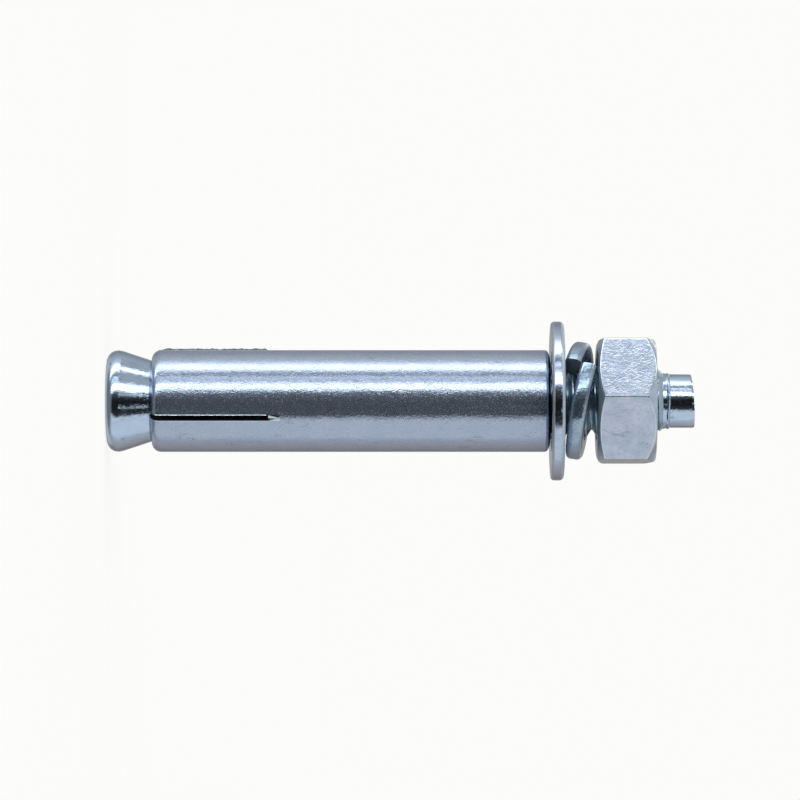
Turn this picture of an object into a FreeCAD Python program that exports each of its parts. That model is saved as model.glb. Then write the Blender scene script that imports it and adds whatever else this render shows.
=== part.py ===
import FreeCAD, Part
import math
import os
from FreeCAD import Vector

# Expansion bolt, M10 by 80 with a sleeve of 14 mm, standing on the flat end of its cone.
# Sizes are in millimetres and angles in degrees. The bolt's axis is +Z, and the origin is the
# centre of the cone's flat end. A direction round the axis is counted from +X towards +Y.

# Cone head
head_diameter = 13.9
head_edge_round = 1.72
cone_half_angle = 18.3

# Shank, thread and sheared tip
shank_diameter = 9.0
thread_diameter = 9.8
thread_length = 46.0
thread_start_chamfer = 0.4
thread_end_chamfer = 0.57
thread_beyond_nut = 0.3
neck_length = 1.3
neck_round = 2.5
tip_diameter = 7.36
tip_length = 2.9
shear_slant_angle = 3.9
shear_high_side_angle = -27.5

# Expansion sleeve
sleeve_diameter = 14.0
sleeve_length = 54.65
sleeve_bore = 10.35
sleeve_mouth_flare = 0.445
sleeve_mouth_round = 1.25
sleeve_end_break = 0.75
sleeve_end_break_height = 0.4
slit_count = 3
slit_width = 0.8
slit_length = 16.1
slit_point_length = 1.6
slit_direction_angle = -70.6

# Flat washer
flat_washer_diameter = 21.85
flat_washer_bore = 10.5
flat_washer_thickness = 1.8
flat_washer_edge_break = 0.4

# Spring washer: one turn of a left-hand helix, loose on the thread and leaning over
spring_washer_diameter = 16.1
spring_washer_bore = 10.6
spring_washer_thickness = 2.2
spring_washer_edge_break = 0.3
spring_washer_rise = 2.2
spring_washer_split = 0.25
spring_washer_split_angle = -133.0
spring_washer_lean_angle = 11.8
spring_washer_high_side_angle = 135.3

# Hexagon nut
nut_sides = 6
nut_across_flats = 16.65
nut_height = 8.1
nut_corner_round = 0.35
nut_corner_angle = -94.4
nut_inner_face_diameter = 15.3
nut_inner_chamfer_angle = 25.0
nut_outer_face_diameter = 16.3
nut_outer_chamfer_angle = 42.0
nut_countersink = 0.6

# Clearances
seat_clearance = 0.06
sleeve_to_washer_gap = 0.12
washer_to_washer_gap = 0.11
washer_to_nut_gap = 0.05
thread_clearance = 0.05

# Radii of the round pieces
head_radius = head_diameter / 2
shank_radius = shank_diameter / 2
thread_radius = thread_diameter / 2
tip_radius = tip_diameter / 2
sleeve_radius = sleeve_diameter / 2
sleeve_bore_radius = sleeve_bore / 2
sleeve_mouth_radius = sleeve_bore_radius + sleeve_mouth_flare

# The cone narrows by the slope for each millimetre of height. The foot radius is the one that it
# would have at the end face if it ran down to a sharp edge, without the rounding.
cone_slope = math.tan(math.radians(cone_half_angle))
cone_cosine = math.cos(math.radians(cone_half_angle))
cone_sine = math.sin(math.radians(cone_half_angle))
cone_foot_radius = head_radius + head_edge_round * ((1 + cone_sine) / cone_cosine - 1)
cone_end = (cone_foot_radius - shank_radius) / cone_slope

# The sleeve's mouth sits on the cone where the cone is as wide as the mouth, less the clearance
seat_radius = sleeve_mouth_radius - seat_clearance / cone_cosine
sleeve_bottom = (cone_foot_radius - seat_radius) / cone_slope
sleeve_top = sleeve_bottom + sleeve_length
flat_washer_bottom = sleeve_top + sleeve_to_washer_gap
flat_washer_top = flat_washer_bottom + flat_washer_thickness

AXIS = Vector(0, 0, 1)
CENTRE = Vector(0, 0, 0)


def in_section(radius, height):
    """A point of a profile that is turned round the axis."""
    return Vector(radius, 0, height)


def rounded_outline(corners):
    """A closed face through (point, rounding) corners, with an arc at each rounded corner."""
    starts = []
    ends = []
    arcs = []
    for index, (corner, rounding) in enumerate(corners):
        to_last = (corners[index - 1][0] - corner).normalize()
        to_next = (corners[(index + 1) % len(corners)][0] - corner).normalize()
        half_angle = to_last.getAngle(to_next) / 2
        setback = rounding / math.tan(half_angle)
        start = corner + to_last * setback
        end = corner + to_next * setback
        starts.append(start)
        ends.append(end)
        if rounding > 0:
            inward = (to_last + to_next).normalize()
            middle = corner + inward * (rounding / math.sin(half_angle) - rounding)
            arcs.append(Part.Arc(start, middle, end).toShape())
        else:
            arcs.append(None)
    edges = []
    for index, arc in enumerate(arcs):
        if arc is not None:
            edges.append(arc)
        next_start = starts[(index + 1) % len(starts)]
        edges.append(Part.LineSegment(ends[index], next_start).toShape())
    return Part.Face(Part.Wire(edges))


def turned(corners):
    """The solid that a profile makes when it is turned round the axis."""
    return rounded_outline(corners).revolve(CENTRE, AXIS, 360)


def leaned(shape, pivot, angle, high_side):
    """The shape tipped about a point of the axis, so that it rises towards one direction."""
    direction = math.radians(high_side)
    hinge_line = Vector(math.sin(direction), -math.cos(direction), 0)
    return shape.rotated(pivot, hinge_line, angle)


def expansion_sleeve():
    """A tube whose mouth is rounded outside, flared inside to the cone and slit lengthwise."""
    flare_height = sleeve_mouth_flare / cone_slope
    tube = turned([
        (in_section(sleeve_mouth_radius, sleeve_bottom), 0),
        (in_section(sleeve_radius, sleeve_bottom), sleeve_mouth_round),
        (in_section(sleeve_radius, sleeve_top - sleeve_end_break_height), 0),
        (in_section(sleeve_radius - sleeve_end_break, sleeve_top), 0),
        (in_section(sleeve_bore_radius, sleeve_top), 0),
        (in_section(sleeve_bore_radius, sleeve_bottom + flare_height), 0),
    ])
    for number in range(slit_count):
        tube = tube.cut(slit(slit_direction_angle + number * 360 / slit_count))
    return tube


def slit(direction):
    """The cut for one slit, open at the mouth and drawn out to a point at its other end."""
    below_mouth = sleeve_bottom - slit_width
    point_height = sleeve_bottom + slit_length + slit_point_length
    outline = Part.makePolygon([
        Vector(0, -slit_width / 2, below_mouth),
        Vector(0, -slit_width / 2, sleeve_bottom + slit_length),
        Vector(0, 0, point_height),
        Vector(0, slit_width / 2, sleeve_bottom + slit_length),
        Vector(0, slit_width / 2, below_mouth),
        Vector(0, -slit_width / 2, below_mouth),
    ])
    cutter = Part.Face(outline).extrude(Vector(sleeve_diameter, 0, 0))
    return cutter.rotated(CENTRE, AXIS, direction)


def ring_section(inner, outer, bottom, thickness, edge_break):
    """The corners of a ring's section, with its two outer edges broken."""
    top = bottom + thickness
    return [
        (in_section(inner, bottom), 0),
        (in_section(outer - edge_break, bottom), 0),
        (in_section(outer, bottom + edge_break), 0),
        (in_section(outer, top - edge_break), 0),
        (in_section(outer - edge_break, top), 0),
        (in_section(inner, top), 0),
    ]


def flat_washer():
    """A punched ring, tumbled until its outer edges are broken."""
    inner = flat_washer_bore / 2
    outer = flat_washer_diameter / 2
    return turned(ring_section(
        inner, outer, flat_washer_bottom, flat_washer_thickness, flat_washer_edge_break))


def spring_washer():
    """Square wire bent to one turn of a left-hand helix, tipped over on the thread."""
    inner = spring_washer_bore / 2
    outer = spring_washer_diameter / 2
    middle = (inner + outer) / 2
    thickness = spring_washer_thickness
    section = rounded_outline(
        ring_section(inner, outer, -thickness / 2, thickness, spring_washer_edge_break))
    turn_length = 2 * math.pi * middle
    climb = spring_washer_rise * (1 - spring_washer_split / turn_length)
    path = Part.makeLongHelix(spring_washer_rise, climb, middle, 0, True)
    coil = path.makePipeShell([section.OuterWire], True, True)
    half_split = math.degrees(spring_washer_split / middle) / 2
    coil = coil.rotated(CENTRE, AXIS, spring_washer_split_angle - half_split)
    coil = leaned(coil, Vector(0, 0, climb / 2), spring_washer_lean_angle, spring_washer_high_side_angle)
    lowest = coil.optimalBoundingBox(False, False).ZMin
    coil.translate(Vector(0, 0, flat_washer_top + washer_to_washer_gap - lowest))
    return coil


def nut_bottom_over(washer):
    """The height of the nut's inner face, just clear of the leaning washer's highest point."""
    return washer.optimalBoundingBox(False, False).ZMax + washer_to_nut_gap


def hex_prism(bottom, corner_radius):
    """The nut's six flats, with their corners a little rounded."""
    corners = []
    for number in range(nut_sides):
        direction = math.radians(nut_corner_angle + number * 360 / nut_sides)
        point = Vector(corner_radius * math.cos(direction), corner_radius * math.sin(direction), bottom)
        corners.append((point, nut_corner_round))
    return rounded_outline(corners).extrude(Vector(0, 0, nut_height))


def nut_envelope(bottom, corner_radius):
    """The turned shape inside which the nut stays: a shallow chamfer below, a steep one above."""
    top = bottom + nut_height
    inner_face_radius = nut_inner_face_diameter / 2
    outer_face_radius = nut_outer_face_diameter / 2
    inner_depth = (corner_radius - inner_face_radius) * math.tan(math.radians(nut_inner_chamfer_angle))
    outer_depth = (corner_radius - outer_face_radius) * math.tan(math.radians(nut_outer_chamfer_angle))
    return turned([
        (in_section(0, bottom), 0),
        (in_section(inner_face_radius, bottom), 0),
        (in_section(corner_radius, bottom + inner_depth), 0),
        (in_section(corner_radius, top - outer_depth), 0),
        (in_section(outer_face_radius, top), 0),
        (in_section(0, top), 0),
    ])


def nut_hole(bottom):
    """The nut's bore, which runs on the thread, countersunk at both ends."""
    top = bottom + nut_height
    bore_radius = thread_radius + thread_clearance
    return turned([
        (in_section(0, bottom), 0),
        (in_section(bore_radius + nut_countersink, bottom), 0),
        (in_section(bore_radius, bottom + nut_countersink), 0),
        (in_section(bore_radius, top - nut_countersink), 0),
        (in_section(bore_radius + nut_countersink, top), 0),
        (in_section(0, top), 0),
    ])


def hex_nut(bottom):
    """The nut, cold formed with different chamfers at its two ends."""
    corner_radius = nut_across_flats / 2 / math.cos(math.pi / nut_sides)
    body = hex_prism(bottom, corner_radius).common(nut_envelope(bottom, corner_radius))
    return body.cut(nut_hole(bottom))


def cone_bolt(nut_top):
    """The whole bolt, headed and rolled from one wire, with its end sheared a little askew."""
    thread_end = nut_top + thread_beyond_nut
    neck_start = thread_end + thread_end_chamfer
    neck_radius = thread_radius - thread_end_chamfer
    tip_start = neck_start + neck_length
    bolt_end = tip_start + tip_length
    uncut_end = bolt_end + tip_radius
    thread_start = thread_end - thread_length
    bolt = turned([
        (in_section(0, 0), 0),
        (in_section(cone_foot_radius, 0), head_edge_round),
        (in_section(shank_radius, cone_end), 0),
        (in_section(shank_radius, thread_start - thread_start_chamfer), 0),
        (in_section(thread_radius, thread_start), 0),
        (in_section(thread_radius, thread_end), 0),
        (in_section(neck_radius, neck_start), 0),
        (in_section(tip_radius, tip_start), neck_round),
        (in_section(tip_radius, uncut_end), 0),
        (in_section(0, uncut_end), 0),
    ])
    offcut_size = 2 * head_diameter
    offcut = Part.makeBox(offcut_size, offcut_size, offcut_size)
    offcut.translate(Vector(-offcut_size / 2, -offcut_size / 2, bolt_end))
    return bolt.cut(leaned(offcut, Vector(0, 0, bolt_end), shear_slant_angle, shear_high_side_angle))


def write_parts():
    """Make each piece in the order in which it seats on the last, and write it to its file."""
    washer = spring_washer()
    nut_bottom = nut_bottom_over(washer)
    pieces = {
        "cone_bolt": cone_bolt(nut_bottom + nut_height),
        "expansion_sleeve": expansion_sleeve(),
        "flat_washer": flat_washer(),
        "spring_washer": washer,
        "hex_nut": hex_nut(nut_bottom),
    }
    os.makedirs("parts", exist_ok=True)
    for name, shape in pieces.items():
        shape.exportStep("parts/" + name + ".step")
        box = shape.optimalBoundingBox(False, False)
        span = f"z {box.ZMin:.2f} to {box.ZMax:.2f}"
        print(f"{name}: {len(shape.Solids)} solid, {shape.Volume:.1f} mm3, {span}")


write_parts()
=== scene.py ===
# %% [markdown]
# Sleeve anchor, M10 by 80, dressed for its picture
#
# The anchor is a steel bolt with a cone at one end and a thread at the other, inside a slit tube.
# Tightening the nut pulls the cone into the tube and spreads it against the wall of its hole. All
# five pieces are zinc plated. The solids come from the CAD frame, and this script gives them what
# the solids leave out: the cut thread, rounded and burred edges, and the plating.

# %% Load the frame
import math

import bmesh
import bpy
from mathutils import Matrix, Vector, noise


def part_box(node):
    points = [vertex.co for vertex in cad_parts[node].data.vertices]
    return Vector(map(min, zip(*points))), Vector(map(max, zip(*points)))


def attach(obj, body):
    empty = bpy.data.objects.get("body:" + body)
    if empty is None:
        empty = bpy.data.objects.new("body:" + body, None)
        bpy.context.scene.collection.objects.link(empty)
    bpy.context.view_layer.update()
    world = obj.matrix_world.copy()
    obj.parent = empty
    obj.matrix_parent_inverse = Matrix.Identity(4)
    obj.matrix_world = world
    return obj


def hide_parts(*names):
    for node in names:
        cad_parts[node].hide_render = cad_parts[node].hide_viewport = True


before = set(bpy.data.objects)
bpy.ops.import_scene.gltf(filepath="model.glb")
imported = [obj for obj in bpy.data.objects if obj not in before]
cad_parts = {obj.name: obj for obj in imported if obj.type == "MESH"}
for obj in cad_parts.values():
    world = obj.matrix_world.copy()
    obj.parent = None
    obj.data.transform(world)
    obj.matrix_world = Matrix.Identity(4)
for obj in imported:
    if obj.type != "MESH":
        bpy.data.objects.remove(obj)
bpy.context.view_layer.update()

MM = 0.001

# %% [markdown]
# The camera looks square at the side of the bolt from three quarters of a metre, through a long
# lens, so that the two ends hardly taper. The bolt stands on its cone in this frame and lies across
# the picture, so the camera is rolled a quarter turn: the picture's right is up, along the thread.

# %% Camera
camera_distance = 756.25 * MM
camera_height = 40.29 * MM
camera_aside = -0.14 * MM
film_side = 36
lens_length = 247.5

camera_data = bpy.data.cameras.new("camera")
camera_data.sensor_width = film_side
camera_data.lens = lens_length
camera = bpy.data.objects.new("camera", camera_data)
bpy.context.scene.collection.objects.link(camera)
bpy.context.scene.camera = camera

picture_right = Vector((0, 0, 1))
picture_up = Vector((-1, 0, 0))
towards_camera = Vector((0, -1, 0))
camera_turn = Matrix((picture_right, picture_up, towards_camera)).transposed().to_4x4()
camera_place = Vector((camera_aside, -camera_distance, camera_height))
camera.matrix_world = Matrix.Translation(camera_place) @ camera_turn
print("picture height at the bolt in mm:", round(camera_distance / MM * film_side / lens_length, 1))

# %% [markdown]
# Plated metal has almost no colour of its own to see: what the eye reads as bright zinc is the
# studio mirrored in it. Lamps and cards could be placed one by one, but a round bar mirrors a whole
# ring of directions, so it is simpler to paint that ring in the world. The angle is counted round
# the bolt from the camera, upwards in the picture. The camera's own side is dark, as a
# photographer's room is, with two tall soft boxes above it and pale walls below. The level of the
# walls is about 1, so that the plating shows its own colour there. The camera sees plain white.

# %% One function for nodes, one for colours
def add_node(tree, kind, inputs=None, **settings):
    """Add a node with its settings, and give its inputs a value or the socket that feeds them."""
    node = tree.nodes.new(kind)
    for name, setting in settings.items():
        setattr(node, name, setting)
    for name, value in (inputs or {}).items():
        if isinstance(value, bpy.types.NodeSocket):
            tree.links.new(value, node.inputs[name])
        else:
            node.inputs[name].default_value = value
    return node


def linear(hex_colour):
    """The linear red, green and blue of an sRGB colour such as #9EACC1."""
    shares = [int(hex_colour[place:place + 2], 16) / 255 for place in (1, 3, 5)]
    return [share / 12.92 if share < 0.04045 else ((share + 0.055) / 1.055) ** 2.4 for share in shares]


# A Mix node has a row of sockets for each kind of value, and these are its sockets for colours
mix_from, mix_to, mix_result = 6, 7, 2
print("mid grey is", [round(share, 3) for share in linear("#808080")])

# %% Ring of light round the bolt
neutral, warm, cool = (linear(tint) for tint in ("#FFFFFF", "#FFF1EA", "#F4F8FF"))
soft_box_level = 3.8

# Angle round the bolt in degrees, level, tint
studio_ring = (
    (-180, 0.45, neutral),
    (-150, 0.30, warm),
    (-141, 0.46, warm),
    (-118, 0.70, warm),
    (-100, 0.78, neutral),
    (-91, 1.08, neutral),
    (-40, 1.08, neutral),
    (-36, 0.07, neutral),
    (-22, 0.02, neutral),
    (1, 0.02, neutral),
    (9, 0.06, neutral),
    (16, 0.15, neutral),
    (23, 0.30, neutral),
    (26.5, soft_box_level, neutral),
    (39, soft_box_level, neutral),
    (43, 1.5, neutral),
    (49, 0.75, cool),
    (53.5, 2.1, cool),
    (56.5, 2.1, cool),
    (60, 0.35, cool),
    (64, 0.5, cool),
    (68, 0.95, cool),
    (72, 1.3, neutral),
    (76.5, soft_box_level, neutral),
    (87, soft_box_level, neutral),
    (95, 2.0, neutral),
    (103, 1.1, neutral),
    (118, 0.82, neutral),
    (132, 0.58, neutral),
    (151, 0.42, cool),
    (180, 0.45, neutral),
)

studio = bpy.data.worlds.new("studio")
bpy.context.scene.world = studio
studio.use_nodes = True
studio_tree = studio.node_tree
studio_tree.nodes.clear()
looking = add_node(studio_tree, "ShaderNodeTexCoord").outputs["Generated"]
from_behind = add_node(studio_tree, "ShaderNodeMapping", {"Vector": looking, "Rotation": (0, 0, math.pi)})
axes = add_node(studio_tree, "ShaderNodeSeparateXYZ", {"Vector": from_behind.outputs["Vector"]})
angle_round_bolt = add_node(
    studio_tree, "ShaderNodeMath", {0: axes.outputs["X"], 1: axes.outputs["Y"]}, operation="ARCTAN2")
share_of_turn = add_node(studio_tree, "ShaderNodeMapRange", {
    "Value": angle_round_bolt.outputs["Value"], "From Min": -math.pi, "From Max": math.pi})
ring = add_node(studio_tree, "ShaderNodeValToRGB", {"Fac": share_of_turn.outputs["Result"]})
stops = ring.color_ramp.elements
stops.remove(stops[1])
for number, (degrees, level, tint) in enumerate(studio_ring):
    stop = stops.new(degrees / 360 + 0.5) if number else stops[0]
    stop.color = [part * level / soft_box_level for part in tint] + [1]
print("studio ring:", len(stops), "levels, soft boxes at", soft_box_level)

# %% [markdown]
# A bar has ends too, so the room needs a ceiling, a stand under the bolt and a wall low behind it.
# The cone leans to the ceiling, and mirrors other parts of the room than the bar does: two grey
# walls that leave a bright strip between them, and two thin bright gaps over and under the camera.
# They could be planes that only the cone's rays meet. As faded parts of the world they cost
# nothing, and throw no shadow.

# %% Rest of the room
# Name, level, and the fades that bound it: the axis, where it starts and where it is full. Z is
# along the bolt, X up the picture and Y to the camera
cone_sees = ("Z", 0.14, 0.24), ("Z", 0.66, 0.6)
room_parts = (
    ("ceiling", 0.8, (("Z", 0.62, 0.86),)),
    ("stand", 0.3, (("Z", -0.62, -0.94),)),
    ("low wall behind", 0.8, (("Z", -0.3, -0.6), ("Y", -0.3, -0.6))),
    ("grey wall behind", 0.7, (*cone_sees, ("Y", 0.1, -0.06), ("X", 0.0, 0.2))),
    ("grey wall in front", 0.7, (*cone_sees, ("Y", 0.14, 0.22), ("Y", 0.65, 0.63), ("X", 0.0, 0.2))),
    ("gap over the camera", 3.0, (*cone_sees, ("X", 0.23, 0.245), ("X", 0.273, 0.258))),
    ("gap under the camera", 1.3, (*cone_sees, ("X", -0.215, -0.235), ("X", -0.275, -0.255))),
)
backdrop_white = linear("#FCFCFA")

room = ring.outputs["Color"]
for part_name, level, fades in room_parts:
    shown = 1.0
    for axis, start, full in fades:
        faded = add_node(studio_tree, "ShaderNodeMapRange", {
            "Value": axes.outputs[axis], "From Min": start, "From Max": full},
            interpolation_type="SMOOTHSTEP")
        shown = add_node(studio_tree, "ShaderNodeMath", {
            0: shown, 1: faded.outputs["Result"]}, operation="MULTIPLY").outputs["Value"]
    room = add_node(studio_tree, "ShaderNodeMix", {
        "Factor": shown, mix_from: room, mix_to: [level / soft_box_level] * 3 + [1]},
        data_type="RGBA", label=part_name).outputs[mix_result]

studio_rays = add_node(studio_tree, "ShaderNodeLightPath")
seen = add_node(studio_tree, "ShaderNodeMix", {
    "Factor": studio_rays.outputs["Is Camera Ray"], mix_from: room,
    mix_to: [part / soft_box_level for part in backdrop_white] + [1]}, data_type="RGBA")
background = add_node(studio_tree, "ShaderNodeBackground", {
    "Color": seen.outputs[mix_result], "Strength": soft_box_level})
add_node(studio_tree, "ShaderNodeOutputWorld", {"Surface": background.outputs["Background"]})
print("parts of the room:", ", ".join(part_name for part_name, level, fades in room_parts))

# %% [markdown]
# The floor is a wide pale sheet. It takes a real shadow by its diffuse part, and gives the camera
# a little light of its own, which brings the open floor to the white of the backdrop, so that no
# horizon shows. The metal doesn't mirror it: the lower half of the studio stands there instead.

# %% Floor
floor_half_side = 2.0
floor_drop = 0.02 * MM
floor_colour = linear("#747472")
floor_lit_level = 0.8515

floor_mesh = bpy.data.meshes.new("floor")
bm = bmesh.new()
bmesh.ops.create_grid(bm, x_segments=1, y_segments=1, size=floor_half_side)
bmesh.ops.translate(bm, verts=bm.verts, vec=(0, 0, -floor_drop))
bm.to_mesh(floor_mesh)
bm.free()
floor = bpy.data.objects.new("floor", floor_mesh)
bpy.context.scene.collection.objects.link(floor)
floor.visible_glossy = False

paper = bpy.data.materials.new("white_paper_sheet")
paper.use_nodes = True
paper_tree = paper.node_tree
paper_tree.nodes.clear()
matt = add_node(paper_tree, "ShaderNodeBsdfDiffuse", {"Color": floor_colour + [1]})
lift = [white - part * floor_lit_level for white, part in zip(backdrop_white, floor_colour)]
paper_rays = add_node(paper_tree, "ShaderNodeLightPath")
glow = add_node(paper_tree, "ShaderNodeEmission", {
    "Color": lift + [1], "Strength": paper_rays.outputs["Is Camera Ray"]})
matt_and_glow = add_node(paper_tree, "ShaderNodeAddShader", {
    0: matt.outputs["BSDF"], 1: glow.outputs["Emission"]})
add_node(paper_tree, "ShaderNodeOutputMaterial", {"Surface": matt_and_glow.outputs["Shader"]})
floor_mesh.materials.append(paper)
print("floor lift:", [round(part, 3) for part in lift])

# %% [markdown]
# All five pieces wear the same finish, electroplated zinc under a clear blue passivation: a cold
# white metal with a thin blue cast. What differs is the steel below, because plating a few
# thousandths of a millimetre thick shows every mark of how that steel was shaped. So there is one
# recipe, and each finish gives it its own tones, its gloss on the pebbles and in the hollows
# between them, the size and height of its pebbles and of the slower swell under them, its rubbed
# marks, and a veil, which is the light that the passivation scatters. An image of a real sheet
# could be wrapped round instead, but it would have to be cut and fitted to each piece. These
# patterns are sized in millimetres and follow the object.
#
# The real grain is finer than a pixel of the picture, which is 0.14 mm at the bolt. It is drawn 0.3
# to 0.65 mm across, as coarse as it has to be to show.

# %% Recipe for zinc plating
# Noise keeps near its middle. These are the spans of it that turn to patches, marks and hollows
patch_span = (0.36, 0.64)
mark_span = (0.62, 0.72)
hollow_span = (0.5, 0.68)
hollow_share = 0.8
mark_colour = linear("#5C6672")


def zinc_plating(name, tones, gloss, pebbles, swell, curl=1.0, marks=0.0, veil=0.0):
    """Zinc in two tones on pebbled steel, under a film of passivation.

    gloss is the roughness of the pebbles and of the hollows between them, pebbles and swell are
    each a size and a height in millimetres, marks is how dark the rubbed marks are, and veil is
    the share of light that the passivation scatters instead of mirroring it.
    """
    material = bpy.data.materials.new(name)
    material.use_nodes = True
    tree = material.node_tree
    tree.nodes.clear()
    place = add_node(tree, "ShaderNodeTexCoord").outputs["Object"]

    # Size of a lump in mm, how much longer it is along the bolt, finer octaves in it, curl
    patterns = {
        "patches": (1.8, 1.0, 4.0, 0.5),
        "marks": (1.4, 2.2, 3.0, 2.0),
        "swell": (swell[0], 1.6, 1.0, 0.0),
        "pebbles": (pebbles[0], 1.4, 1.0, curl),
        "hollows": (hollow_share * pebbles[0], 1.4, 2.0, curl)}
    pattern_of = {}
    for pattern, (size, stretch, octaves, distortion) in patterns.items():
        scale = [1 / (size * MM), 1 / (size * MM), 1 / (size * stretch * MM)]
        mapped = add_node(tree, "ShaderNodeMapping", {"Vector": place, "Scale": scale})
        lumps = add_node(tree, "ShaderNodeTexNoise", {
            "Vector": mapped.outputs["Vector"], "Scale": 1.0, "Detail": octaves, "Distortion": distortion})
        pattern_of[pattern] = lumps.outputs["Fac"]

    patches = add_node(tree, "ShaderNodeMapRange", {
        "Value": pattern_of["patches"], "From Min": patch_span[0], "From Max": patch_span[1]})
    colour = add_node(tree, "ShaderNodeMix", {
        "Factor": patches.outputs["Result"], mix_from: linear(tones[0]) + [1],
        mix_to: linear(tones[1]) + [1]}, data_type="RGBA")
    rubbed = add_node(tree, "ShaderNodeMapRange", {
        "Value": pattern_of["marks"], "From Min": mark_span[0], "From Max": mark_span[1], "To Max": marks})
    marked = add_node(tree, "ShaderNodeMix", {
        "Factor": rubbed.outputs["Result"], mix_from: colour.outputs[mix_result],
        mix_to: mark_colour + [1]}, data_type="RGBA")
    rough = add_node(tree, "ShaderNodeMapRange", {
        "Value": pattern_of["hollows"], "From Min": hollow_span[0], "From Max": hollow_span[1],
        "To Min": gloss[0], "To Max": gloss[1]})
    waves = add_node(tree, "ShaderNodeBump", {"Height": pattern_of["swell"], "Distance": swell[1] * MM})
    relief = add_node(tree, "ShaderNodeBump", {
        "Height": pattern_of["pebbles"], "Distance": pebbles[1] * MM, "Normal": waves.outputs["Normal"]})
    metal = add_node(tree, "ShaderNodeBsdfPrincipled", {
        "Base Color": marked.outputs[mix_result], "Metallic": 1 - veil,
        "Roughness": rough.outputs["Result"], "Normal": relief.outputs["Normal"]})
    add_node(tree, "ShaderNodeOutputMaterial", {"Surface": metal.outputs["BSDF"]})
    return material


print("marks are drawn in", [round(part, 3) for part in mark_colour])

# %% Finishes of the five pieces
# Drawn tube: fine pebbles under a matt veil, so its dark band is a mottled grey
sleeve_zinc = zinc_plating(
    "blue_zinc_on_drawn_tube", tones=("#9CABC1", "#A2AFC4"), gloss=(0.13, 0.33),
    pebbles=(0.32, 0.018), swell=(2.2, 0.03), marks=0.3, veil=0.26)
# Cold-headed wire: pressed against a polished die, so the glossiest and the deepest black
cone_zinc = zinc_plating(
    "blue_zinc_on_headed_wire", tones=("#A0B3C9", "#A9BACC"), gloss=(0.06, 0.18),
    pebbles=(0.3, 0.014), swell=(1.1, 0.01), marks=0.5)
# Rolled thread: burnished flanks under a passivation that pools in the turns, so a little greener
thread_zinc = zinc_plating(
    "blue_zinc_on_rolled_thread", tones=("#8FA9B6", "#9DB2BE"), gloss=(0.11, 0.26),
    pebbles=(0.4, 0.015), swell=(1.1, 0.02), veil=0.35)
# Punched strip: smooth rolled faces that mirror cleanly
washer_zinc = zinc_plating(
    "blue_zinc_on_punched_strip", tones=("#9DADC4", "#A8B4C6"), gloss=(0.11, 0.3),
    pebbles=(0.42, 0.003), swell=(1.8, 0.02), marks=0.3)
# Spring wire: drawn square, then tumbled, darker and a little wavy
spring_zinc = zinc_plating(
    "blue_zinc_on_spring_wire", tones=("#879DB0", "#95A9BA"), gloss=(0.13, 0.35),
    pebbles=(0.42, 0.018), swell=(1.4, 0.05), marks=0.4, veil=0.2)
# Cold-formed nut: flats crinkled by scale, a satin sheen
nut_zinc = zinc_plating(
    "blue_zinc_on_formed_nut", tones=("#A6B4C8", "#B7C1D2"), gloss=(0.18, 0.3),
    pebbles=(0.65, 0.028), swell=(2.2, 0.02), curl=1.8, marks=0.35, veil=0.3)
for finish in (sleeve_zinc, cone_zinc, thread_zinc, washer_zinc, spring_zinc, nut_zinc):
    print(finish.name, "has", len(finish.node_tree.nodes), "nodes")

# %% [markdown]
# Edges and cuts wear the same zinc in another way. Edges and burrs rub against their neighbours in
# the plating drum and come out brightest. The washers' roundings were tumbled to a satin. A sheared
# face is torn grain. The walls of the slits get a dark grey, which is painted shade for the dark
# inside of the slits. Each of these could be painted by a mask, but each sits on faces of its own,
# so a second or third material on those faces is simpler and sharper.

# %% Finishes of edges and cuts
# Rubbed: small bright lines along the edges
rubbed_zinc = zinc_plating(
    "rubbed_zinc_on_edges", tones=("#A9B8C4", "#B6C3CC"), gloss=(0.09, 0.15),
    pebbles=(0.5, 0.01), swell=(1.1, 0.02))
# Tumbled: pale from every side, with no sharp reflection
tumbled_zinc = zinc_plating(
    "tumbled_zinc_on_roundings", tones=("#A9B8C8", "#B8C4D0"), gloss=(0.3, 0.4),
    pebbles=(0.5, 0.01), swell=(1.1, 0.02), veil=0.55)
# Sheared: a grey that scatters the light
sheared_zinc = zinc_plating(
    "zinc_on_sheared_faces", tones=("#6A767E", "#87939B"), gloss=(0.3, 0.5),
    pebbles=(0.3, 0.03), swell=(1.1, 0.02), veil=0.4)
# Painted shade: a dark grey on the slits' walls, for the dark inside of the slits
slit_shade_zinc = zinc_plating(
    "zinc_painted_dark_as_slit_shade", tones=("#40474D", "#586068"), gloss=(0.3, 0.5),
    pebbles=(0.3, 0.03), swell=(1.1, 0.02), veil=0.2)
for finish in (rubbed_zinc, tumbled_zinc, sheared_zinc, slit_shade_zinc):
    print(finish.name, "has", len(finish.node_tree.nodes), "nodes")

# %% [markdown]
# Most of the pieces are turned shapes. A few corner points make a wire in the plane of X and Z, a
# vertex bevel rounds its corners, and a spin turns the wire to a skin. Cylinders and cones could be
# stacked instead, but they wouldn't give one smooth skin with true roundings.

# %% Helpers for turned pieces
round_steps = 96
arc_segments = 6
weld_distance = 0.002 * MM
axis_line = dict(cent=(0, 0, 0), axis=(0, 0, 1))


def wire_profile(bm, corners, closed=False):
    """Edges through (radius, height, rounding) corners in millimetres, with the roundings made."""
    points = [Vector((radius, 0, height)) * MM for radius, height, rounding in corners]
    verts = [bm.verts.new(point) for point in points]
    for pair in zip(verts, verts[1:]):
        bm.edges.new(pair)
    if closed:
        bm.edges.new((verts[-1], verts[0]))
    roundings = [rounding for radius, height, rounding in corners]
    for number, rounding in enumerate(roundings):
        if rounding:
            to_last = points[number - 1] - points[number]
            to_next = points[(number + 1) % len(points)] - points[number]
            setback = rounding * MM / math.tan(to_last.angle(to_next) / 2)
            bmesh.ops.bevel(
                bm, geom=[verts[number]], offset=setback, offset_type="OFFSET", affect="VERTICES",
                segments=arc_segments, profile=0.5, material=-1)


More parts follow.
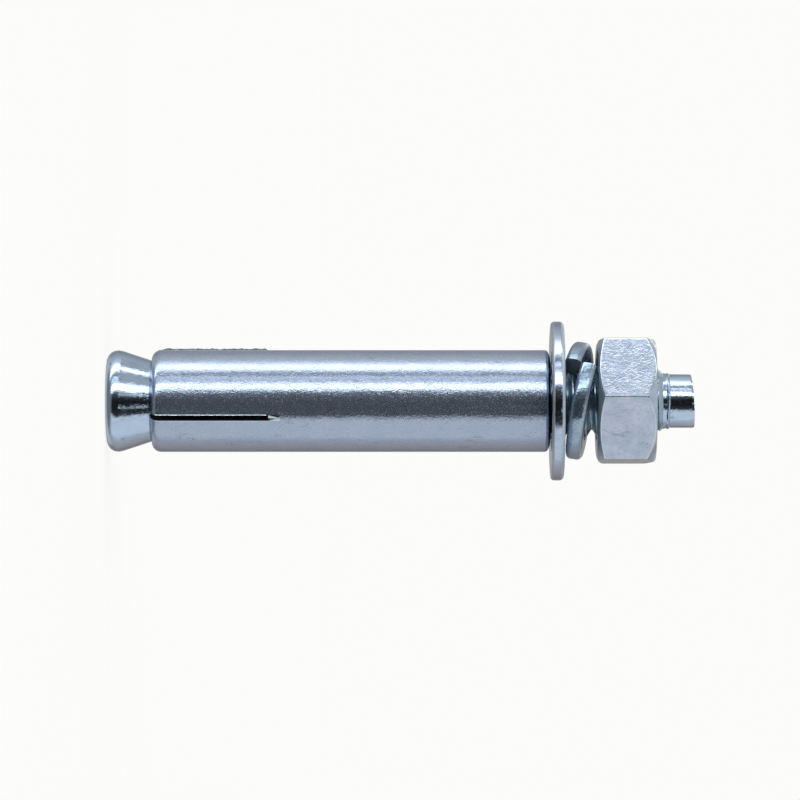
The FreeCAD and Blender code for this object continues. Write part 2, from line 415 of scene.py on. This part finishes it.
def spin_full(bm, steps=round_steps):
    """Turn the wire in the bmesh once round the bolt's axis."""
    bmesh.ops.spin(
        bm, geom=bm.verts[:] + bm.edges[:], dvec=(0, 0, 0), angle=2 * math.pi, steps=steps,
        use_merge=True, **axis_line)
    bmesh.ops.remove_doubles(bm, verts=bm.verts, dist=weld_distance)


def open_edges(bm, height):
    """The open edges that lie at one height."""
    def level(vert):
        return abs(vert.co.z - height) < weld_distance
    return [edge for edge in bm.edges if edge.is_boundary and all(map(level, edge.verts))]


def set_radius(vert, radius):
    """Move a vertex straight out or in to a distance from the axis, in metres."""
    across = vert.co.xy.normalized() * radius
    vert.co = (across.x, across.y, vert.co.z)


print("a turn has", round_steps, "steps, and a rounding has", arc_segments)

# %% [markdown]
# A finished skin becomes an object that stands for its CAD node and rides on the node's body. Its
# shading is smooth, except across edges that are sharp on the real piece too.

# %% Helpers for finished pieces
sharp_angle = math.radians(35)
level_lean = 0.98


def mark_roundings(bm, least_lean):
    """Give the second material to the faces that lean to the axis this much, but aren't level."""
    bmesh.ops.recalc_face_normals(bm, faces=bm.faces)
    for face in bm.faces:
        face.material_index = 1 if least_lean < abs(face.normal.z) < level_lean else 0


def make_piece(bm, name, node, body, materials):
    """Turn the bmesh to an object that stands for its CAD node and rides on the node's body."""
    bmesh.ops.remove_doubles(bm, verts=bm.verts, dist=weld_distance)
    bmesh.ops.recalc_face_normals(bm, faces=bm.faces)
    open_count = sum(not edge.is_manifold for edge in bm.edges)
    mesh = bpy.data.meshes.new(name)
    bm.to_mesh(mesh)
    bm.free()
    for material in materials:
        mesh.materials.append(material)
    mesh.shade_smooth()
    mesh.set_sharp_from_angle(angle=sharp_angle)
    piece = bpy.data.objects.new(name, mesh)
    bpy.context.scene.collection.objects.link(piece)
    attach(piece, body)
    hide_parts(node)
    print(name, len(mesh.polygons), "faces,", open_count, "open or odd edges")


print("edges stay sharp from", round(math.degrees(sharp_angle)), "degrees")

# %% [markdown]
# The thread is M10, coarse pitch. On the real bolt it is rolled: dies press the groove into the
# wire and the metal flows up to the crests. Here the outline of one pitch is spun with a lift at
# each step, which makes the true helix, and the turns are welded to each other. A screw modifier
# would give the same, but the spin keeps everything in one bmesh, where its ends can be cut and
# joined to the shank and the neck. The nut's thread is the same helix, a little larger.

# %% Helical thread
thread_pitch = 1.5
thread_radius = 4.9
thread_depth = 0.92

# Share of one pitch from root to root, and share of the depth that the die left there
thread_section = (
    (0.0, 1.0), (0.055, 0.985), (0.105, 0.91), (0.25, 0.505), (0.4, 0.08), (0.445, 0.01), (0.5, 0.0),
    (0.555, 0.01), (0.6, 0.08), (0.75, 0.505), (0.895, 0.91), (0.945, 0.985), (1.0, 1.0))


def spin_thread(bm, low, high, outset):
    """Fill a height, in mm, and a little more with turns of the thread's right-hand helix."""
    verts = [
        bm.verts.new(Vector((
            thread_radius + outset - thread_depth * depth, 0, low + (share - 1) * thread_pitch)) * MM)
        for share, depth in thread_section]
    edges = [bm.edges.new(pair) for pair in zip(verts, verts[1:])]
    lift_a_step = (0, 0, thread_pitch * MM / round_steps)
    bmesh.ops.spin(
        bm, geom=verts + edges, dvec=lift_a_step, angle=2 * math.pi, steps=round_steps, **axis_line)
    one_turn = bm.verts[:] + bm.edges[:] + bm.faces[:]
    for turn in range(1, math.ceil((high - low) / thread_pitch) + 2):
        copied = bmesh.ops.duplicate(bm, geom=one_turn)["geom"]
        copied_verts = [part for part in copied if isinstance(part, bmesh.types.BMVert)]
        bmesh.ops.translate(bm, verts=copied_verts, vec=(0, 0, turn * thread_pitch * MM))
    bmesh.ops.remove_doubles(bm, verts=bm.verts, dist=weld_distance)


def cut_level(bm, height, keep_above):
    """Cut the skin open at one height, in mm, and drop what lies beyond."""
    bmesh.ops.bisect_plane(
        bm, geom=bm.verts[:] + bm.edges[:] + bm.faces[:], plane_co=(0, 0, height * MM),
        plane_no=(0, 0, -1 if keep_above else 1), clear_outer=True)


print("thread root radius in mm:", round(thread_radius - thread_depth, 2))

# %% [markdown]
# The bolt is one piece of wire. Its cone was upset in a die with a rounded rim, its thread was
# rolled, and its plain tip was sheared off from the next blank, which left the end a few degrees
# askew. The rolling dies pushed a low bead of metal up round the neck, and the last turn of the
# thread runs out on a chamfer, down to the root. Head and tip are spun from outlines, the thread
# goes between them, and bridges join the three, so that the whole bolt is one closed skin. Three
# separate pieces could be set on each other instead, but their seams would show.

# %% Measures of the bolt
bolt_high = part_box("cone_bolt")[1]
sleeve_low, sleeve_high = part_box("expansion_sleeve")
nut_low, nut_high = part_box("hex_nut")

head_radius = bolt_high.x / MM
head_edge_round = 1.72
cone_half_angle = math.radians(18.3)
cone_root_round = 1.5
shank_radius = 4.5
shank_gap = 0.4

thread_length = 46.12
thread_inside_nut = 0.1

neck_gap = 0.04
neck_inset = 0.02
neck_rise = 0.12
neck_radius = 3.86
neck_slope = 0.2
neck_fillet = 2.5
neck_rings = 3
bead_middle = 77.08
bead_width = 0.2
bead_height = 0.16
bead_sway = 0.1
bead_lumps = 2.5

tip_radius = 3.68
crease_round = 0.1
shear_edge_height = 0.25
shear_edge_inset = 0.05
shear_depth = 0.3
shear_ragged = 0.06
shear_lumps = 9
shear_slant = math.radians(3.9)
shear_high_side = math.radians(-27.5)

# The cone's sharp foot lies outside the head's radius, to which the rounding brings it back
foot_share = (1 + math.sin(cone_half_angle)) / math.cos(cone_half_angle) - 1
cone_foot_radius = head_radius + head_edge_round * foot_share
cone_end = (cone_foot_radius - shank_radius) / math.tan(cone_half_angle)
root_radius = thread_radius - thread_depth
thread_end = nut_high.z / MM - thread_inside_nut
thread_start = thread_end - thread_length
neck_cut = thread_end + thread_depth
neck_start = neck_cut + neck_rise
tip_start = neck_start + (neck_radius - tip_radius) / neck_slope
tip_end = bolt_high.z / MM - tip_radius * math.tan(shear_slant)
print("thread from", round(thread_start, 2), "to", round(thread_end, 2), "mm, tip to", round(tip_end, 2))

# %% Thread of the bolt
bm = bmesh.new()
spin_thread(bm, thread_start, thread_end, 0)
for vert in bm.verts:
    chamfer = thread_radius - max(0, vert.co.z / MM - thread_end)
    set_radius(vert, min(vert.co.xy.length, chamfer * MM))
cut_level(bm, thread_start, keep_above=True)
cut_level(bm, neck_cut, keep_above=False)
print("thread:", len(bm.faces), "faces")

# %% Head and tip of the bolt
head = bmesh.new()
wire_profile(head, [
    (0, 0, 0), (cone_foot_radius, 0, head_edge_round), (shank_radius, cone_end, cone_root_round),
    (shank_radius, thread_start - shank_gap, 0)])
spin_full(head)

tip = bmesh.new()
wire_profile(tip, [
    (root_radius - neck_inset, neck_cut + neck_gap, 0), (neck_radius, neck_start, crease_round),
    (tip_radius, tip_start, neck_fillet), (tip_radius, tip_end - shear_edge_height, crease_round),
    (tip_radius - shear_edge_inset, tip_end, 0), (0, tip_end, 0)])
neck_top = bead_middle + 2 * bead_width
neck_edges = [edge for edge in tip.edges if max(vert.co.z for vert in edge.verts) < neck_top * MM]
bmesh.ops.subdivide_edges(tip, edges=neck_edges, cuts=neck_rings)
spin_full(tip)
print("head:", len(head.faces), "faces, tip:", len(tip.faces), "faces")

# %% Bead at the neck and torn rim of the tip
# The rim's second noise is read on a level of its own, so that it doesn't follow the first
rim_level = 4
for vert in tip.verts:
    outwards = vert.co.xy.normalized()
    torn = noise.noise((bead_lumps * outwards.x, bead_lumps * outwards.y, 0))
    from_middle = min(1, abs(vert.co.z / MM - bead_middle - bead_sway * torn) / bead_width)
    if vert.co.z < (tip_end - shear_depth) * MM:
        set_radius(vert, vert.co.xy.length + bead_height * MM * (1 + torn) * (1 - from_middle ** 2))
    elif vert.co.xy.length > tip_radius * MM / 2:
        set_radius(vert, vert.co.xy.length + shear_ragged * MM * torn)
        lifted = noise.noise((shear_lumps * outwards.x, shear_lumps * outwards.y, rim_level))
        vert.co.z += shear_ragged * MM * lifted
print("bead at", bead_middle, "mm, up to", bead_height * 2, "mm high")

# %% Bolt joined to one skin
for part in (head, tip):
    spare = bpy.data.meshes.new("spare")
    part.to_mesh(spare)
    part.free()
    bm.from_mesh(spare)
    bpy.data.meshes.remove(spare)
for low, high in ((thread_start - shank_gap, thread_start), (neck_cut, neck_cut + neck_gap)):
    bmesh.ops.bridge_loops(bm, edges=open_edges(bm, low * MM) + open_edges(bm, high * MM))

# The shear tilts all that lies above the tip's last ring
for vert in bm.verts:
    if vert.co.z > (tip_end - shear_depth) * MM:
        to_high_side = vert.co.x * math.cos(shear_high_side) + vert.co.y * math.sin(shear_high_side)
        vert.co.z += to_high_side * math.tan(shear_slant)
for face in bm.faces:
    face.material_index = 1 if thread_start < face.calc_center_median().z / MM < neck_cut else 0
make_piece(bm, "bolt", "cone_bolt", "bolt", [cone_zinc, thread_zinc])

# %% [markdown]
# The sleeve is cut from drawn tube. Its mouth is rounded outside and flared inside, and its other
# end has a broken edge. The tube's section is spun in short arcs, so that rows of vertices fall
# exactly on the edges of its three slits and on a narrow lip beside each edge. A plain tube could
# be cut by a boolean later, but it leaves no clean rows along the slits to raise a burr from.

# %% Measures of the sleeve
sleeve_radius = sleeve_high.x / MM
sleeve_bore_radius = 5.175
sleeve_bottom = sleeve_low.z / MM
sleeve_top = sleeve_high.z / MM
mouth_flare = 0.445
mouth_round = 1.25
end_break = 0.75
end_break_height = 0.4
end_shoulder_round = 0.5
end_edge_round = 0.2
end_bore_round = 0.15

slit_count = 3
slit_width = 0.8
slit_length = 16.1
ramp_length = 1.6
ramp_depth = 0.5
first_slit = math.radians(-70.6)
slit_rows = 50
lip_width = 0.09
slit_steps, lip_steps, rest_steps = 2, 2, 36

mouth_radius = sleeve_bore_radius + mouth_flare
wall_middle = (sleeve_bore_radius + sleeve_radius) / 2
flare_top = sleeve_bottom + mouth_flare / math.tan(cone_half_angle)
slit_end = sleeve_bottom + slit_length
slit_point = slit_end + ramp_length
slit_angle = slit_width / sleeve_radius
lip_angle = lip_width / sleeve_radius
rest_angle = 2 * math.pi / slit_count - slit_angle - 2 * lip_angle
print("slits end at", round(slit_end, 2), "mm and run to a point at", round(slit_point, 2))

# %% Sleeve spun in arcs
bm = bmesh.new()
wire_profile(bm, [
    (mouth_radius, sleeve_bottom, 0), (sleeve_radius, sleeve_bottom, mouth_round),
    (sleeve_radius, slit_end, 0), (sleeve_radius, slit_point, 0),
    (sleeve_radius, sleeve_top - end_break_height, end_shoulder_round),
    (sleeve_radius - end_break, sleeve_top, end_edge_round),
    (sleeve_bore_radius, sleeve_top, end_bore_round),
    (sleeve_bore_radius, slit_point, 0), (sleeve_bore_radius, slit_end, 0),
    (sleeve_bore_radius, flare_top, 0)], closed=True)
beside_slits = [
    edge for edge in bm.edges
    if edge.calc_length() > slit_length / 2 * MM
    and max(vert.co.z for vert in edge.verts) < slit_end * MM + weld_distance]
bmesh.ops.subdivide_edges(bm, edges=beside_slits, cuts=slit_rows)
bmesh.ops.rotate(
    bm, verts=bm.verts, cent=(0, 0, 0), matrix=Matrix.Rotation(first_slit - slit_angle / 2, 3, "Z"))
section = bm.verts[:] + bm.edges[:]
one_slit = (slit_angle, slit_steps), (lip_angle, lip_steps), (rest_angle, rest_steps), (lip_angle, lip_steps)
for arc_angle, arc_steps in one_slit * slit_count:
    section = bmesh.ops.spin(
        bm, geom=section, dvec=(0, 0, 0), angle=arc_angle, steps=arc_steps, **axis_line)["geom_last"]
bmesh.ops.remove_doubles(bm, verts=bm.verts, dist=weld_distance)
print("sleeve spun:", len(bm.faces), "faces")

# %% [markdown]
# The slits were punched through the wall, and the punch ran out along a slope, so that each slit
# ends in a ramp that narrows to a point. Here the faces between a slit's rows are taken out, two
# creases run from the slit's corners to its point, and the slit's end is sunk between them. Then
# the open edges are closed by walls. The ramp could be carved by a boolean with a wedge, which
# would cut the same shape but leave thin scraps of faces round it.

# %% Slits cut into the sleeve
same_row = slit_angle / 20


def nearest_slit(point):
    """The number of the nearest slit, and the angle from its middle to a point."""
    spacing = 2 * math.pi / slit_count
    steps = (math.atan2(point.y, point.x) - first_slit) / spacing
    return round(steps) % slit_count, (steps - round(steps)) * spacing


def is_outside(vert):
    """True for a vertex on the outer half of the sleeve's wall."""
    return vert.co.xy.length > wall_middle * MM


def slit_row(height, across):
    """The outer vertices of the slits at one height, in mm, and one angle from their middles."""
    return [
        vert for vert in bm.verts
        if is_outside(vert) and abs(vert.co.z - height * MM) < weld_distance
        and abs(nearest_slit(vert.co)[1] - across) < same_row]


punched_out = []
for face in bm.faces:
    middle = face.calc_center_median()
    if middle.z < slit_end * MM and abs(nearest_slit(middle)[1]) < slit_angle / 2:
        punched_out.append(face)
bmesh.ops.delete(bm, geom=punched_out, context="FACES")
print("slits:", len(punched_out), "faces punched out")

# %% Ramps at the slits' ends
ramp_wall_share = 0.08

for point_vert in slit_row(slit_point, 0):
    for side in (-1, 1):
        corners = slit_row(slit_end, side * slit_angle / 2)
        nearest = min(corners, key=lambda vert: (vert.co - point_vert.co).length)
        bmesh.ops.connect_verts(bm, verts=[nearest, point_vert])

# Beside each corner a new vertex splits the slit's end, so that the ramp is flat between two walls
for middle_vert in slit_row(slit_end, 0):
    point_vert = min(slit_row(slit_point, 0), key=lambda vert: (vert.co - middle_vert.co).length)
    sunk = [middle_vert]
    for edge in [edge for edge in middle_vert.link_edges if edge.is_boundary]:
        corner = edge.other_vert(middle_vert)
        beside_corner = bmesh.utils.edge_split(edge, corner, ramp_wall_share)[1]
        bmesh.ops.connect_verts(bm, verts=[beside_corner, point_vert])
        sunk.append(beside_corner)
    for vert in sunk:
        set_radius(vert, vert.co.xy.length - ramp_depth * MM)
print("ramps:", len(slit_row(slit_point, 0)), "of them,", ramp_depth, "mm deep")

# %% Walls of the slits
for side in (-1, 1):
    for corner in slit_row(slit_end, side * slit_angle / 2):
        number = nearest_slit(corner.co)[0]
        side_edges = [
            edge for edge in bm.edges
            if edge.is_boundary and all(
                nearest_slit(vert.co)[0] == number
                and abs(nearest_slit(vert.co)[1] - side * slit_angle / 2) < same_row
                for vert in edge.verts)]
        inner_corner = next(
            vert for edge in side_edges for vert in edge.verts
            if not is_outside(vert) and abs(vert.co.z - corner.co.z) < weld_distance)
        side_edges.append(bm.edges.new((corner, inner_corner)))
        bmesh.ops.contextual_create(bm, geom=side_edges)
open_left = [edge for edge in bm.edges if edge.is_boundary]
bmesh.ops.holes_fill(bm, edges=open_left, sides=0)
print("walls:", len(open_left), "open edges were left for the slits' ends")

# %% [markdown]
# Punching pushed a thin lip of steel up along the slits. It is highest on one edge of the slit that
# lies at the top of the picture, where it breaks the outline. The row of vertices on the slit's edge
# is lifted by two layers of noise, and the middle row of the lip beside it by half as much. A bump
# in the material would be simpler, but it can't change the outline or the exported mesh.

# %% Burr along the slits
# Height of the burr before and after each slit, in mm
slit_burrs = ((0.08, 0.01), (0.08, 0.01), (0.42, 0.09))
burr_ragged = 0.48
burr_length = 1.0
burr_fade = 0.8
burr_end_share = 0.3
burr_wander = 0.1
row_tolerance = 0.1
# Strength of a layer of noise, how much finer it is, and the level of the noise that it is read on
burr_layers = ((1.0, 1, 5), (0.5, 3, 9))

highest = 0
for vert in bm.verts:
    height = vert.co.z / MM
    number, across = nearest_slit(vert.co)
    from_edge = (abs(across) - slit_angle / 2) / lip_angle
    on_rows = -row_tolerance < from_edge < 1 - row_tolerance
    if is_outside(vert) and height < slit_end + weld_distance and on_rows:
        before, after = slit_burrs[number]
        side = math.copysign(1, across)
        torn = sum(
            strength * noise.noise((finer * height / burr_length, number, level * side))
            for strength, finer, level in burr_layers)
        from_end = min(
            1, (height - sleeve_bottom) / mouth_round, (slit_end - height) / burr_fade + burr_end_share)
        rise = (before if across < 0 else after) * max(0, 1 + burr_ragged * torn) * from_end
        rise *= 1 - max(0, from_edge)
        set_radius(vert, vert.co.xy.length + rise * MM)
        aside = burr_wander * torn * max(0, from_edge)
        vert.co.rotate(Matrix.Rotation(aside / sleeve_radius, 3, "Z"))
        highest = max(highest, rise)
print("highest burr in mm:", round(highest, 2))

# %% Sleeve finished
# A slit's wall is one face with a corner at every row. Lips, ramps and the tube's end are rubbed
for face in bm.faces:
    middle = face.calc_center_median()
    across = abs(nearest_slit(middle)[1])
    on_lip = middle.z < slit_end * MM and slit_angle / 2 < across < slit_angle / 2 + lip_angle
    on_ramp = slit_end * MM < middle.z < slit_point * MM and across < slit_angle / 2
    at_end = middle.z > (sleeve_top - end_break_height) * MM
    # A slit's wall takes the dark grey that is painted shade for the inside of the slit
    if len(face.verts) > slit_rows:
        face.material_index = 2
    elif at_end or middle.xy.length > wall_middle * MM and (on_lip or on_ramp):
        face.material_index = 1
make_piece(
    bm, "sleeve", "expansion_sleeve", "sleeve", [sleeve_zinc, rubbed_zinc, slit_shade_zinc])

# %% [markdown]
# The flat washer was punched from strip and tumbled, which rounded its edges until only a narrow
# bright band is left round the rim, between two satin roundings. A closed section, spun once, is
# all that it needs. A cylinder with a hole and a bevel would give every edge the same rounding,
# but the edges of the bore are sharper than those of the rim.

# %% Flat washer
washer_low, washer_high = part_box("flat_washer")
washer_radius = washer_high.x / MM
washer_bore_radius = 5.25
washer_bottom = washer_low.z / MM
washer_top = washer_high.z / MM
washer_bore_round_below, washer_bore_round_above = 0.12, 0.3
washer_rim_round_below, washer_rim_round_above = 0.5, 0.6
washer_steps = 128
washer_satin_lean = 0.3

bm = bmesh.new()
wire_profile(bm, [
    (washer_bore_radius, washer_bottom, washer_bore_round_below),
    (washer_radius, washer_bottom, washer_rim_round_below),
    (washer_radius, washer_top, washer_rim_round_above),
    (washer_bore_radius, washer_top, washer_bore_round_above)], closed=True)
spin_full(bm, steps=washer_steps)
mark_roundings(bm, washer_satin_lean)
make_piece(bm, "washer", "flat_washer", "washer", [washer_zinc, tumbled_zinc])

# %% [markdown]
# The spring washer is square wire coiled left-handed for one turn and cut through, so that its ends
# stand a wire's height apart. Unloaded, it leans over on the thread. The section is spun backwards
# with a lift, the two cuts are closed by flat faces, and the coil is tipped about its middle as
# the CAD piece is, then set at the same height. A wire swept along a curve would do too, but its
# section could twist on the way.

# %% Coil of the spring washer
spring_bore_radius = 5.3
spring_radius = 8.05
spring_bore_round = 0.12
spring_round_below, spring_round_above = 0.6, 0.75
wire_height = 2.2
coil_rise = 2.2
coil_steps = 120
split_width = 0.25
spring_satin_lean = 0.65

wire_middle = (spring_bore_radius + spring_radius) / 2
coil_angle = 2 * math.pi - split_width / wire_middle
climb = coil_rise * coil_angle / (2 * math.pi)

bm = bmesh.new()
wire_profile(bm, [
    (spring_bore_radius, -wire_height / 2, spring_bore_round),
    (spring_radius, -wire_height / 2, spring_round_below),
    (spring_radius, wire_height / 2, spring_round_above),
    (spring_bore_radius, wire_height / 2, spring_bore_round)], closed=True)
first_cut = bm.edges[:]
coil = bmesh.ops.spin(
    bm, geom=bm.verts[:] + bm.edges[:], dvec=(0, 0, climb * MM / coil_steps), angle=-coil_angle,
    steps=coil_steps, **axis_line)
last_cut = [part for part in coil["geom_last"] if isinstance(part, bmesh.types.BMEdge)]
cut_faces = [bmesh.ops.contextual_create(bm, geom=cut)["faces"][0] for cut in (first_cut, last_cut)]
mark_roundings(bm, spring_satin_lean)
for face in cut_faces:
    face.material_index = 2
print("coil climbs", round(climb, 2), "mm in", round(math.degrees(coil_angle)), "degrees")

# %% Spring washer tipped over on the thread
spring_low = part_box("spring_washer")[0]
split_angle = math.radians(-133)
lean_angle = math.radians(11.8)
high_side = math.radians(135.3)

half_split = split_width / wire_middle / 2
hinge_line = Vector((math.sin(high_side), -math.cos(high_side), 0))
bmesh.ops.rotate(
    bm, verts=bm.verts, cent=(0, 0, 0), matrix=Matrix.Rotation(split_angle - half_split, 3, "Z"))
bmesh.ops.rotate(
    bm, verts=bm.verts, cent=(0, 0, climb * MM / 2), matrix=Matrix.Rotation(lean_angle, 3, hinge_line))
lowest = min(vert.co.z for vert in bm.verts)
bmesh.ops.translate(bm, verts=bm.verts, vec=(0, 0, spring_low.z - lowest))
make_piece(
    bm, "split_spring_washer", "spring_washer", "lock_washer",
    [spring_zinc, tumbled_zinc, sheared_zinc])

# %% [markdown]
# The nut is cold formed: a hexagon with a shallow chamfer at its inner end and a steeper one at
# its outer end. Where a cone meets a flat the edge is a curve, and that curve has to be exact. So
# the skin is grown ring by ring: each ring of the hexagon takes, at every column, the height at
# which the chamfer's cone meets it. A hexagon cut by two cones with booleans would give the same
# curve, but with long thin faces that shade badly. The tapped hole is the bolt's own helix, opened
# by a clearance, and it starts in step with the bolt's.

# %% Tapped hole of the nut
nut_bottom = nut_low.z / MM
nut_top = nut_high.z / MM
nut_thread_clearance = 0.1
bore_radius = 4.95
minor_radius = 4.19
countersink = 0.6

bm = bmesh.new()
first_turn = nut_bottom - (nut_bottom - thread_start) % thread_pitch
spin_thread(bm, first_turn, nut_top, nut_thread_clearance)
for vert in bm.verts:
    height = vert.co.z / MM
    from_face = min(height - nut_bottom, nut_top - height)
    sunk_to = bore_radius + countersink - max(from_face, 0)
    set_radius(vert, max(vert.co.xy.length, sunk_to * MM, minor_radius * MM))
cut_level(bm, nut_bottom, keep_above=True)
cut_level(bm, nut_top, keep_above=False)
bore_mouths = open_edges(bm, nut_bottom * MM), open_edges(bm, nut_top * MM)
print("tapped hole:", len(bm.faces), "faces")

# %% Outside of the nut
flat_count = 6
flat_radius = 8.325
corner_angle = math.radians(-94.4)
inner_face_radius = 7.65
outer_face_radius = 8.15
inner_chamfer = math.tan(math.radians(25))
outer_chamfer = math.tan(math.radians(42))
columns_per_flat = 28
edge_rounding = 0.2


def hexagon_radius(vert):
    """The distance from the axis to the hexagon's outline, in mm, in the direction of a vertex."""
    sector = 2 * math.pi / flat_count
    angle = (math.atan2(vert.co.y, vert.co.x) - corner_angle) % sector - sector / 2
    return flat_radius / math.cos(angle)


def inner_edge(radius):
    """The height, in mm, at which the inner chamfer's cone has this radius."""
    return nut_bottom + max(0, radius - inner_face_radius) * inner_chamfer


def outer_edge(radius):
    """The height, in mm, at which the outer chamfer's cone has this radius."""
    return nut_top - max(0, radius - outer_face_radius) * outer_chamfer


def grow_ring(bm, edges, radius_at, height_at):
    """Extrude an open ring and set each new vertex to its own radius and height, in mm."""
    grown = bmesh.ops.extrude_edge_only(bm, edges=edges)["geom"]
    for vert in [part for part in grown if isinstance(part, bmesh.types.BMVert)]:
        radius = radius_at(vert)
        set_radius(vert, radius * MM)
        vert.co.z = height_at(radius) * MM
    return [part for part in grown if isinstance(part, bmesh.types.BMEdge) and part.is_boundary]


circle = bmesh.ops.create_circle(bm, segments=flat_count * columns_per_flat, radius=inner_face_radius * MM)
bmesh.ops.rotate(
    bm, verts=circle["verts"], cent=(0, 0, 0), matrix=Matrix.Rotation(corner_angle, 3, "Z"))
bmesh.ops.translate(bm, verts=circle["verts"], vec=(0, 0, nut_bottom * MM))
bottom_ring = [edge for edge in bm.edges if edge.is_wire]

# Two rings near the ends of the flats keep the shading of the roundings off them
open_ring = bottom_ring
for radius_at, height_at in (
        (hexagon_radius, inner_edge),
        (hexagon_radius, lambda radius: inner_edge(radius) + 2 * edge_rounding),
        (hexagon_radius, lambda radius: outer_edge(radius) - 2 * edge_rounding),
        (hexagon_radius, outer_edge),
        (lambda vert: outer_face_radius, lambda radius: nut_top)):
    open_ring = grow_ring(bm, open_ring, radius_at, height_at)
bmesh.ops.bridge_loops(bm, edges=bore_mouths[0] + bottom_ring)
bmesh.ops.bridge_loops(bm, edges=bore_mouths[1] + open_ring)
print("nut before its edges are rounded:", len(bm.faces), "faces")

# %% Nut with its edges rounded
rounded_from = math.radians(18)
hexagon_from_radius = 7
rounding_steps = 3
chamfer_lean = -0.5

bmesh.ops.recalc_face_normals(bm, faces=bm.faces)
bm.normal_update()
hexagon_edges = [
    edge for edge in bm.edges
    if edge.is_manifold and edge.calc_face_angle() > rounded_from
    and min(vert.co.xy.length for vert in edge.verts) > hexagon_from_radius * MM]
rounded = bmesh.ops.bevel(
    bm, geom=hexagon_edges, offset=edge_rounding * MM, offset_type="OFFSET", affect="EDGES",
    segments=rounding_steps, profile=0.5, material=-1, clamp_overlap=True)["faces"]

# The inner chamfer is tumbled, and the rounded edges are rubbed
for face in bm.faces:
    past_face = face.calc_center_median().xy.length > inner_face_radius * MM
    face.material_index = 2 if face.normal.z < chamfer_lean and past_face else 0
for face in rounded:
    face.material_index = 1
make_piece(bm, "nut", "hex_nut", "nut", [nut_zinc, rubbed_zinc, tumbled_zinc])

bpy.context.scene.view_settings.view_transform = "Standard"
